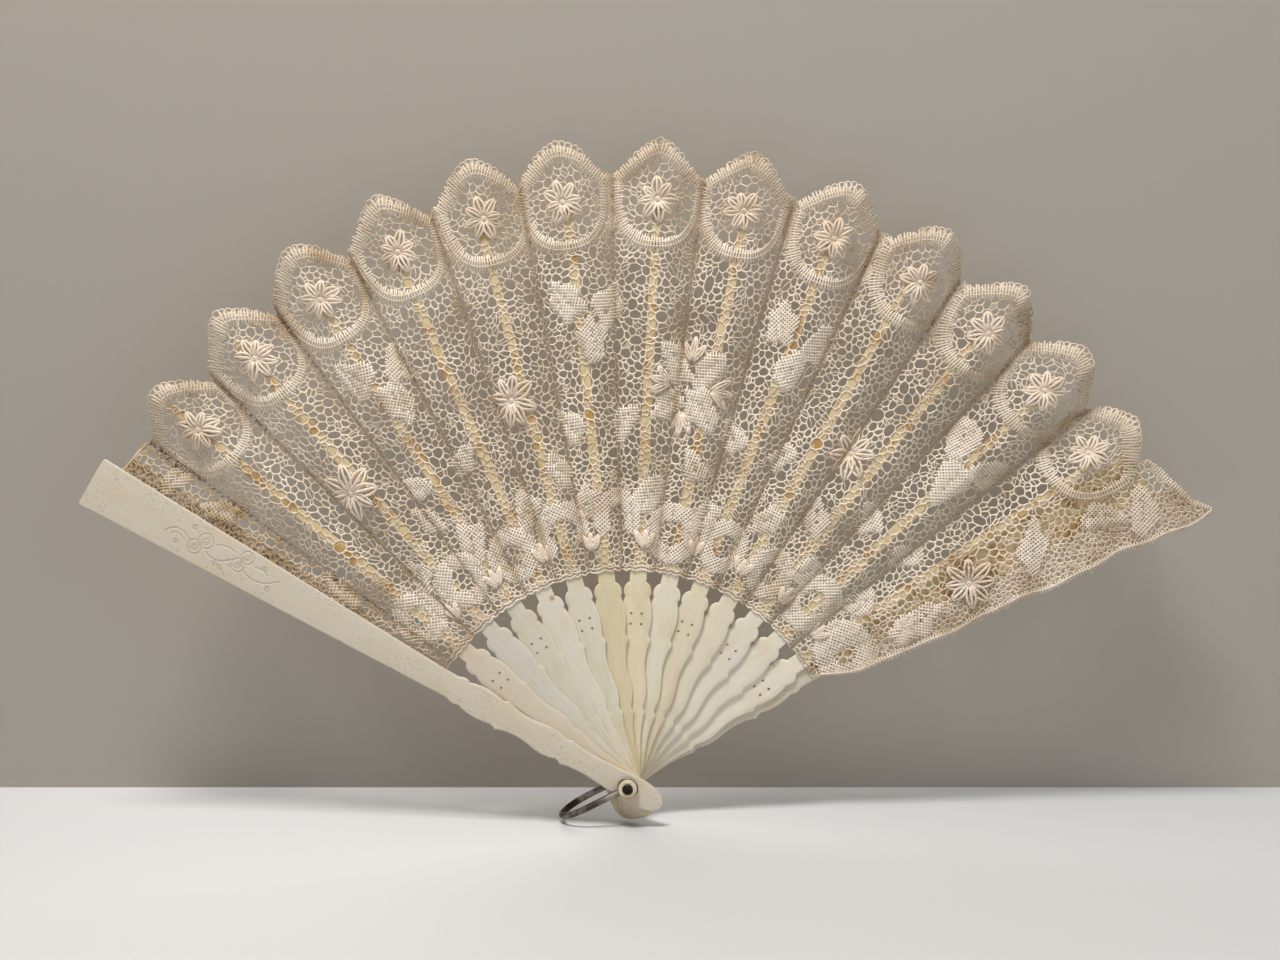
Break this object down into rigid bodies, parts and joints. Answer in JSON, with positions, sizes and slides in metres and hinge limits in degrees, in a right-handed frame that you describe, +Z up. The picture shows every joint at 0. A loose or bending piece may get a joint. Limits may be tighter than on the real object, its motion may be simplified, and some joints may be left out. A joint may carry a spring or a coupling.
{
  "type": "lace folding fan",
  "caption": "Antique folding fan with carved bone sticks on a rivet, a pleated scalloped lace leaf, plain wide guards and a wire hanging loop; opens and shuts about the rivet.",
  "frame": {"origin": "on the rivet axis, halfway through the stack of sticks, where a hand holds the fan", "axes": "+X to the viewer's right and +Z up as the open fan faces the viewer, +Y along the rivet to the back"},
  "size_m": [0.4127, 0.0306, 0.2465],
  "materials": {
    "bone": "polished bone",
    "lace": "ecru needle lace",
    "loop_wire": "dark patina",
    "rivet": "blackened"
  },
  "bodies": {
    "rear_guard": {"rear_guard": "bone", "leaf_end_rear": "lace", "rivet_pin": "rivet", "front_washer": "bone", "rear_washer": "bone"},
    "front_guard": {"front_guard": "bone", "leaf_end_front": "lace"},
    "stick_01": {"stick_01": "bone", "leaf_panel_01": "lace"},
    "stick_02": {"stick_02": "bone", "leaf_panel_02": "lace"},
    "stick_03": {"stick_03": "bone", "leaf_panel_03": "lace"},
    "stick_04": {"stick_04": "bone", "leaf_panel_04": "lace"},
    "stick_05": {"stick_05": "bone", "leaf_panel_05": "lace"},
    "stick_06": {"stick_06": "bone", "leaf_panel_06": "lace"},
    "stick_07": {"stick_07": "bone", "leaf_panel_07": "lace"},
    "stick_08": {"stick_08": "bone", "leaf_panel_08": "lace"},
    "stick_09": {"stick_09": "bone", "leaf_panel_09": "lace"},
    "stick_10": {"stick_10": "bone", "leaf_panel_10": "lace"},
    "stick_11": {"stick_11": "bone", "leaf_panel_11": "lace"},
    "stick_12": {"stick_12": "bone", "leaf_panel_12": "lace"},
    "stick_13": {"stick_13": "bone", "leaf_panel_13": "lace"},
    "leaf_fold_01": {"leaf_fold_01": "lace"},
    "leaf_fold_02": {"leaf_fold_02": "lace"},
    "leaf_fold_03": {"leaf_fold_03": "lace"},
    "leaf_fold_04": {"leaf_fold_04": "lace"},
    "leaf_fold_05": {"leaf_fold_05": "lace"},
    "leaf_fold_06": {"leaf_fold_06": "lace"},
    "leaf_fold_07": {"leaf_fold_07": "lace"},
    "leaf_fold_08": {"leaf_fold_08": "lace"},
    "leaf_fold_09": {"leaf_fold_09": "lace"},
    "leaf_fold_10": {"leaf_fold_10": "lace"},
    "leaf_fold_11": {"leaf_fold_11": "lace"},
    "leaf_fold_12": {"leaf_fold_12": "lace"},
    "leaf_fold_13": {"leaf_fold_13": "lace"},
    "leaf_fold_14": {"leaf_fold_14": "lace"},
    "loop": {"loop": "loop_wire"}
  },
  "joints": [
    {"name": "fan_close", "type": "hinge", "parent": "rear_guard", "child": "front_guard", "pos_m": [0, 0, 0], "axis": [0, 1, 0], "range_deg": [0, 119.8]},
    {"name": "stick_01_turn", "type": "hinge", "parent": "rear_guard", "child": "stick_01", "pos_m": [0, 0, 0], "axis": [0, 1, 0], "range_deg": [0, 109.85]},
    {"name": "stick_02_turn", "type": "hinge", "parent": "rear_guard", "child": "stick_02", "pos_m": [0, 0, 0], "axis": [0, 1, 0], "range_deg": [0, 100.98]},
    {"name": "stick_03_turn", "type": "hinge", "parent": "rear_guard", "child": "stick_03", "pos_m": [0, 0, 0], "axis": [0, 1, 0], "range_deg": [0, 92.11]},
    {"name": "stick_04_turn", "type": "hinge", "parent": "rear_guard", "child": "stick_04", "pos_m": [0, 0, 0], "axis": [0, 1, 0], "range_deg": [0, 83.24]},
    {"name": "stick_05_turn", "type": "hinge", "parent": "rear_guard", "child": "stick_05", "pos_m": [0, 0, 0], "axis": [0, 1, 0], "range_deg": [0, 74.37]},
    {"name": "stick_06_turn", "type": "hinge", "parent": "rear_guard", "child": "stick_06", "pos_m": [0, 0, 0], "axis": [0, 1, 0], "range_deg": [0, 65.5]},
    {"name": "stick_07_turn", "type": "hinge", "parent": "rear_guard", "child": "stick_07", "pos_m": [0, 0, 0], "axis": [0, 1, 0], "range_deg": [0, 56.63]},
    {"name": "stick_08_turn", "type": "hinge", "parent": "rear_guard", "child": "stick_08", "pos_m": [0, 0, 0], "axis": [0, 1, 0], "range_deg": [0, 47.76]},
    {"name": "stick_09_turn", "type": "hinge", "parent": "rear_guard", "child": "stick_09", "pos_m": [0, 0, 0], "axis": [0, 1, 0], "range_deg": [0, 38.89]},
    {"name": "stick_10_turn", "type": "hinge", "parent": "rear_guard", "child": "stick_10", "pos_m": [0, 0, 0], "axis": [0, 1, 0], "range_deg": [0, 30.02]},
    {"name": "stick_11_turn", "type": "hinge", "parent": "rear_guard", "child": "stick_11", "pos_m": [0, 0, 0], "axis": [0, 1, 0], "range_deg": [0, 21.15]},
    {"name": "stick_12_turn", "type": "hinge", "parent": "rear_guard", "child": "stick_12", "pos_m": [0, 0, 0], "axis": [0, 1, 0], "range_deg": [0, 12.28]},
    {"name": "stick_13_turn", "type": "hinge", "parent": "rear_guard", "child": "stick_13", "pos_m": [0, 0, 0], "axis": [0, 1, 0], "range_deg": [0, 3.41]},
    {"name": "leaf_fold_01_turn", "type": "hinge", "parent": "rear_guard", "child": "leaf_fold_01", "pos_m": [0, 0, 0], "axis": [0, 1, 0], "range_deg": [0, 114.55]},
    {"name": "leaf_fold_02_turn", "type": "hinge", "parent": "rear_guard", "child": "leaf_fold_02", "pos_m": [0, 0, 0], "axis": [0, 1, 0], "range_deg": [0, 105.42]},
    {"name": "leaf_fold_03_turn", "type": "hinge", "parent": "rear_guard", "child": "leaf_fold_03", "pos_m": [0, 0, 0], "axis": [0, 1, 0], "range_deg": [0, 96.54]},
    {"name": "leaf_fold_04_turn", "type": "hinge", "parent": "rear_guard", "child": "leaf_fold_04", "pos_m": [0, 0, 0], "axis": [0, 1, 0], "range_deg": [0, 87.67]},
    {"name": "leaf_fold_05_turn", "type": "hinge", "parent": "rear_guard", "child": "leaf_fold_05", "pos_m": [0, 0, 0], "axis": [0, 1, 0], "range_deg": [0, 78.8]},
    {"name": "leaf_fold_06_turn", "type": "hinge", "parent": "rear_guard", "child": "leaf_fold_06", "pos_m": [0, 0, 0], "axis": [0, 1, 0], "range_deg": [0, 69.93]},
    {"name": "leaf_fold_07_turn", "type": "hinge", "parent": "rear_guard", "child": "leaf_fold_07", "pos_m": [0, 0, 0], "axis": [0, 1, 0], "range_deg": [0, 61.06]},
    {"name": "leaf_fold_08_turn", "type": "hinge", "parent": "rear_guard", "child": "leaf_fold_08", "pos_m": [0, 0, 0], "axis": [0, 1, 0], "range_deg": [0, 52.19]},
    {"name": "leaf_fold_09_turn", "type": "hinge", "parent": "rear_guard", "child": "leaf_fold_09", "pos_m": [0, 0, 0], "axis": [0, 1, 0], "range_deg": [0, 43.32]},
    {"name": "leaf_fold_10_turn", "type": "hinge", "parent": "rear_guard", "child": "leaf_fold_10", "pos_m": [0, 0, 0], "axis": [0, 1, 0], "range_deg": [0, 34.46]},
    {"name": "leaf_fold_11_turn", "type": "hinge", "parent": "rear_guard", "child": "leaf_fold_11", "pos_m": [0, 0, 0], "axis": [0, 1, 0], "range_deg": [0, 25.59]},
    {"name": "leaf_fold_12_turn", "type": "hinge", "parent": "rear_guard", "child": "leaf_fold_12", "pos_m": [0, 0, 0], "axis": [0, 1, 0], "range_deg": [0, 16.72]},
    {"name": "leaf_fold_13_turn", "type": "hinge", "parent": "rear_guard", "child": "leaf_fold_13", "pos_m": [0, 0, 0], "axis": [0, 1, 0], "range_deg": [0, 7.85]},
    {"name": "leaf_fold_14_turn", "type": "hinge", "parent": "rear_guard", "child": "leaf_fold_14", "pos_m": [0, 0, 0], "axis": [0, 1, 0], "range_deg": [0, 1.73]},
    {"name": "loop_swing", "type": "hinge", "parent": "rear_guard", "child": "loop", "pos_m": [0, 0, 0], "axis": [0, -1, 0], "range_deg": [-35, 154]}
  ],
  "couplings": [
    {"joint": "stick_01_turn", "follows": "fan_close", "ratio": 0.91653},
    {"joint": "stick_02_turn", "follows": "fan_close", "ratio": 0.84249},
    {"joint": "stick_03_turn", "follows": "fan_close", "ratio": 0.76845},
    {"joint": "stick_04_turn", "follows": "fan_close", "ratio": 0.69441},
    {"joint": "stick_05_turn", "follows": "fan_close", "ratio": 0.62037},
    {"joint": "stick_06_turn", "follows": "fan_close", "ratio": 0.54633},
    {"joint": "stick_07_turn", "follows": "fan_close", "ratio": 0.47229},
    {"joint": "stick_08_turn", "follows": "fan_close", "ratio": 0.39825},
    {"joint": "stick_09_turn", "follows": "fan_close", "ratio": 0.32421},
    {"joint": "stick_10_turn", "follows": "fan_close", "ratio": 0.25017},
    {"joint": "stick_11_turn", "follows": "fan_close", "ratio": 0.17613},
    {"joint": "stick_12_turn", "follows": "fan_close", "ratio": 0.10209},
    {"joint": "stick_13_turn", "follows": "fan_close", "ratio": 0.028047},
    {"joint": "leaf_fold_01_turn", "follows": "fan_close", "ratio": 0.95576},
    {"joint": "leaf_fold_02_turn", "follows": "fan_close", "ratio": 0.87951},
    {"joint": "leaf_fold_03_turn", "follows": "fan_close", "ratio": 0.80547},
    {"joint": "leaf_fold_04_turn", "follows": "fan_close", "ratio": 0.73143},
    {"joint": "leaf_fold_05_turn", "follows": "fan_close", "ratio": 0.65739},
    {"joint": "leaf_fold_06_turn", "follows": "fan_close", "ratio": 0.58335},
    {"joint": "leaf_fold_07_turn", "follows": "fan_close", "ratio": 0.50931},
    {"joint": "leaf_fold_08_turn", "follows": "fan_close", "ratio": 0.43527},
    {"joint": "leaf_fold_09_turn", "follows": "fan_close", "ratio": 0.36123},
    {"joint": "leaf_fold_10_turn", "follows": "fan_close", "ratio": 0.28719},
    {"joint": "leaf_fold_11_turn", "follows": "fan_close", "ratio": 0.21315},
    {"joint": "leaf_fold_12_turn", "follows": "fan_close", "ratio": 0.13911},
    {"joint": "leaf_fold_13_turn", "follows": "fan_close", "ratio": 0.065067},
    {"joint": "leaf_fold_14_turn", "follows": "fan_close", "ratio": 0.014023}
  ]
}
